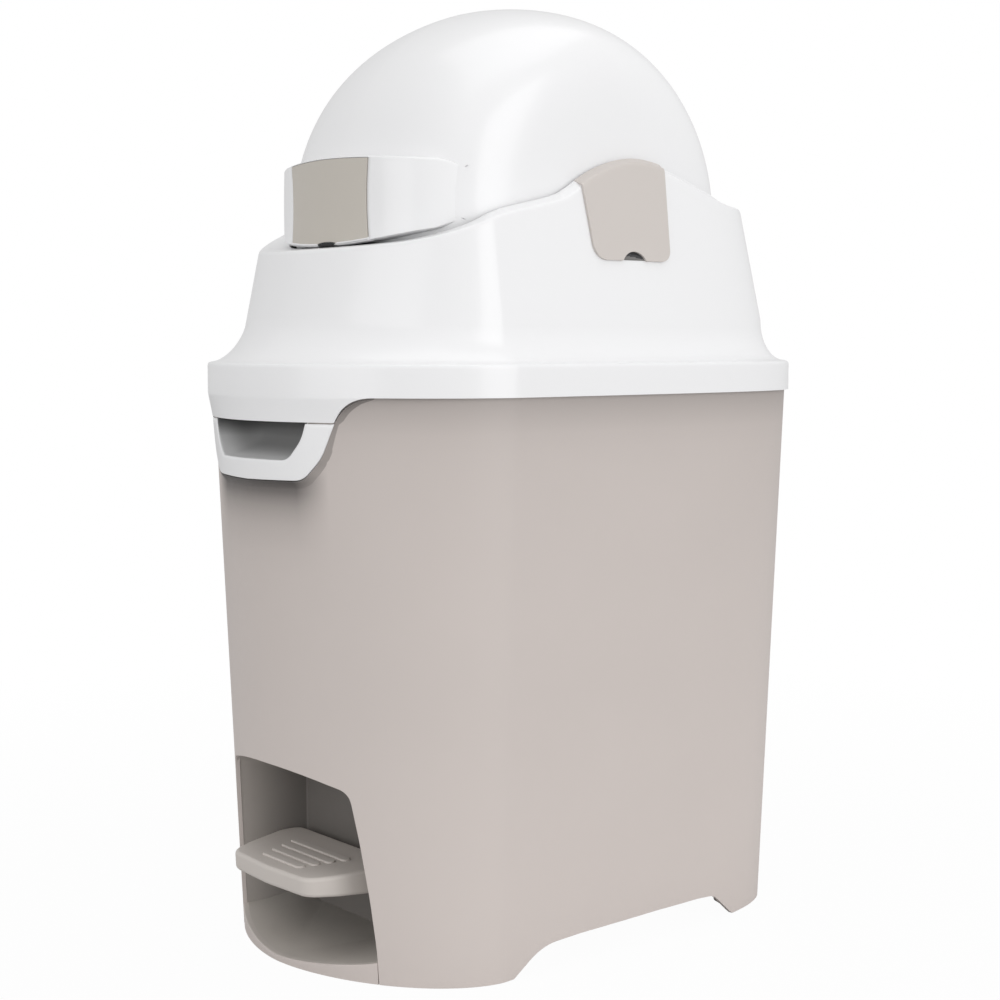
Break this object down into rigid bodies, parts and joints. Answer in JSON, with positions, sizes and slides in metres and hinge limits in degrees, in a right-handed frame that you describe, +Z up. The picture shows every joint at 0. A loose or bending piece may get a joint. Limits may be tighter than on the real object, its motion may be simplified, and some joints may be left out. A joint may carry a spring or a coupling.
{
  "type": "nappy bin",
  "caption": "Free-standing nappy bin with a foot pedal that turns a domed drum in the hinged head, so the mouth opens and the waste drops into the bag below.",
  "frame": {"origin": "on the floor, under the middle of the bin's length and width", "axes": "+Z up, -Y towards the pedal side, which is the front, +X to the right for someone who faces the front"},
  "size_m": [0.279, 0.4028, 0.609],
  "materials": {
    "body_plastic": "satin moulded greige",
    "inner_plastic": "satin moulded greige",
    "white_plastic": "polished moulded white",
    "pedal_plastic": "satin moulded greige",
    "trim_plastic": "satin moulded greige",
    "nylon": "natural moulded",
    "steel": "zinc plated",
    "soft_rubber": "moulded black"
  },
  "bodies": {
    "bin": {"bucket": "body_plastic", "pedal_well": "body_plastic", "mechanism_cover": "inner_plastic", "rod_guide": "inner_plastic", "bag_ring": "white_plastic", "finger_cup": "white_plastic", "rubber_feet": "soft_rubber", "pedal_bracket_left": "nylon", "pedal_bracket_right": "nylon", "bracket_screws": "steel", "cover_screws": "steel", "pedal_return_spring": "steel", "hinge_pins": "steel"},
    "pedal": {"pedal": "pedal_plastic", "pedal_axle": "steel", "lift_arm": "nylon", "lift_roller": "nylon", "roller_pin": "steel", "axle_clips": "steel"},
    "rod": {"lift_rod": "nylon", "rod_foot": "white_plastic"},
    "rack": {"drive_rack": "nylon"},
    "head": {"hood": "white_plastic", "odour_seal": "soft_rubber", "rim_gasket": "soft_rubber", "rack_guide": "inner_plastic", "guide_screws": "steel", "axle_pin_left": "steel", "axle_pin_right": "steel", "side_pad_left": "trim_plastic", "side_pad_right": "trim_plastic", "catch_pin": "steel", "catch_spring": "steel"},
    "drum": {"dome": "white_plastic", "scoop": "white_plastic", "scoop_screws": "steel", "visor": "white_plastic", "visor_plate": "trim_plastic", "hub_bush_left": "nylon", "hub_bush_right": "nylon", "drive_pinion": "nylon"},
    "catch": {"head_catch": "body_plastic"}
  },
  "joints": [
    {"name": "pedal_press", "type": "hinge", "parent": "bin", "child": "pedal", "pos_m": [0, -0.07015, 0.062], "axis": [1, 0, 0], "range_deg": [0, 12], "stiffness_Nm_per_rad": 8, "springref_deg": -14.32},
    {"name": "rod_lift", "type": "slide", "parent": "bin", "child": "rod", "axis": [0, 0, 1], "range_m": [0, 0.0119]},
    {"name": "head_open", "type": "hinge", "parent": "bin", "child": "head", "pos_m": [0, 0.19585, 0.352], "axis": [-1, 0, 0], "range_deg": [0, 95]},
    {"name": "rack_lift", "type": "slide", "parent": "head", "child": "rack", "axis": [0, 0, 1], "range_m": [0, 0.0119]},
    {"name": "drum_turn", "type": "hinge", "parent": "head", "child": "drum", "pos_m": [0, 0.00785, 0.472], "axis": [-1, 0, 0], "range_deg": [0, 90.1]},
    {"name": "catch_release", "type": "hinge", "parent": "head", "child": "catch", "pos_m": [0, -0.17915, 0.367], "axis": [-1, 0, 0], "range_deg": [0, 12], "stiffness_Nm_per_rad": 0.06, "springref_deg": -17.19}
  ],
  "couplings": [
    {"joint": "rod_lift", "follows": "pedal_press", "m_per_rad": 0.05625},
    {"joint": "rack_lift", "follows": "pedal_press", "m_per_rad": 0.05625},
    {"joint": "drum_turn", "follows": "pedal_press", "ratio": 7.5}
  ]
}
